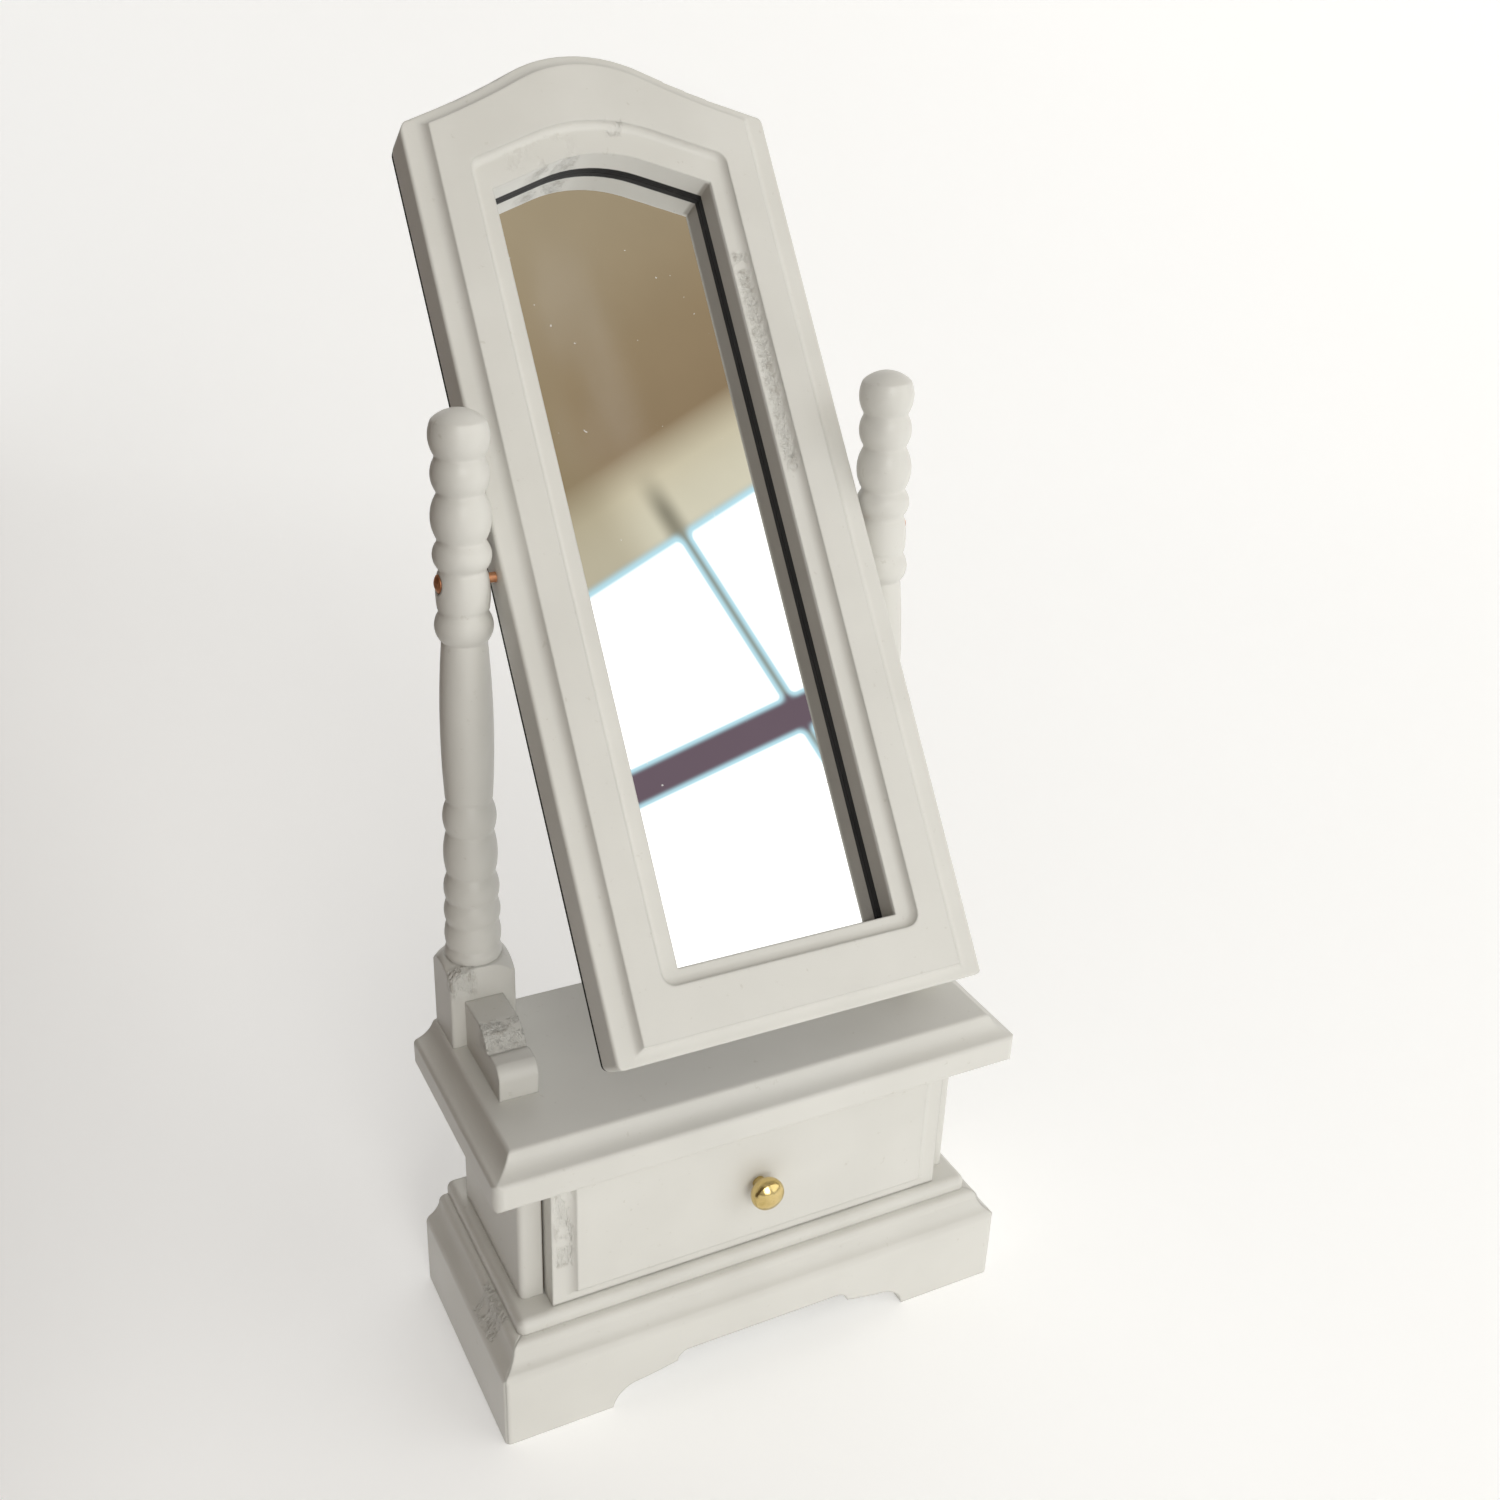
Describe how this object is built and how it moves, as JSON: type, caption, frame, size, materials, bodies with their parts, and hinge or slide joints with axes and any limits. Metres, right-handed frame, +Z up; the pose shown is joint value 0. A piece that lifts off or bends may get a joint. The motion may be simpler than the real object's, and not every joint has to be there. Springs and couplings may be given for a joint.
{
  "type": "dolls house dressing mirror",
  "caption": "White painted dolls' house dressing mirror, tilting between turned posts on a moulded base with a drawer.",
  "frame": {"origin": "centre of the plinth's footprint, on the floor", "axes": "+X to the right seen from the front, +Y towards the back, +Z up"},
  "size_m": [0.0656, 0.0684, 0.1413],
  "materials": {
    "painted_wood": "satin paint",
    "bare_wood": "sanded",
    "mirror_glass": "polished",
    "backing_card": "matt",
    "knob_brass": "polished",
    "nail_metal": "copper-washed"
  },
  "bodies": {
    "base": {"plinth_front": "painted_wood", "plinth_left": "painted_wood", "plinth_right": "painted_wood", "plinth_back": "painted_wood", "deck_board": "painted_wood", "carcass_left_side": "painted_wood", "carcass_right_side": "painted_wood", "carcass_back": "painted_wood", "top_board": "painted_wood", "post_left": "painted_wood", "post_right": "painted_wood", "bracket_left": "painted_wood", "bracket_right": "painted_wood"},
    "mirror": {"mirror_frame": "painted_wood", "mirror_glass": "mirror_glass", "mirror_backing": "backing_card", "pivot_nail_left": "nail_metal", "pivot_nail_right": "nail_metal"},
    "drawer": {"drawer_front": "painted_wood", "drawer_left_side": "bare_wood", "drawer_right_side": "bare_wood", "drawer_back": "bare_wood", "drawer_bottom": "bare_wood", "drawer_knob": "knob_brass"}
  },
  "joints": [
    {"name": "mirror_tilt", "type": "hinge", "parent": "base", "child": "mirror", "pos_m": [0, 0.01225, 0.0935], "axis": [-1, 0, 0], "range_deg": [-126, 54]},
    {"name": "drawer_slide", "type": "slide", "parent": "base", "child": "drawer", "axis": [0, -1, 0], "range_m": [0, 0.013]}
  ]
}
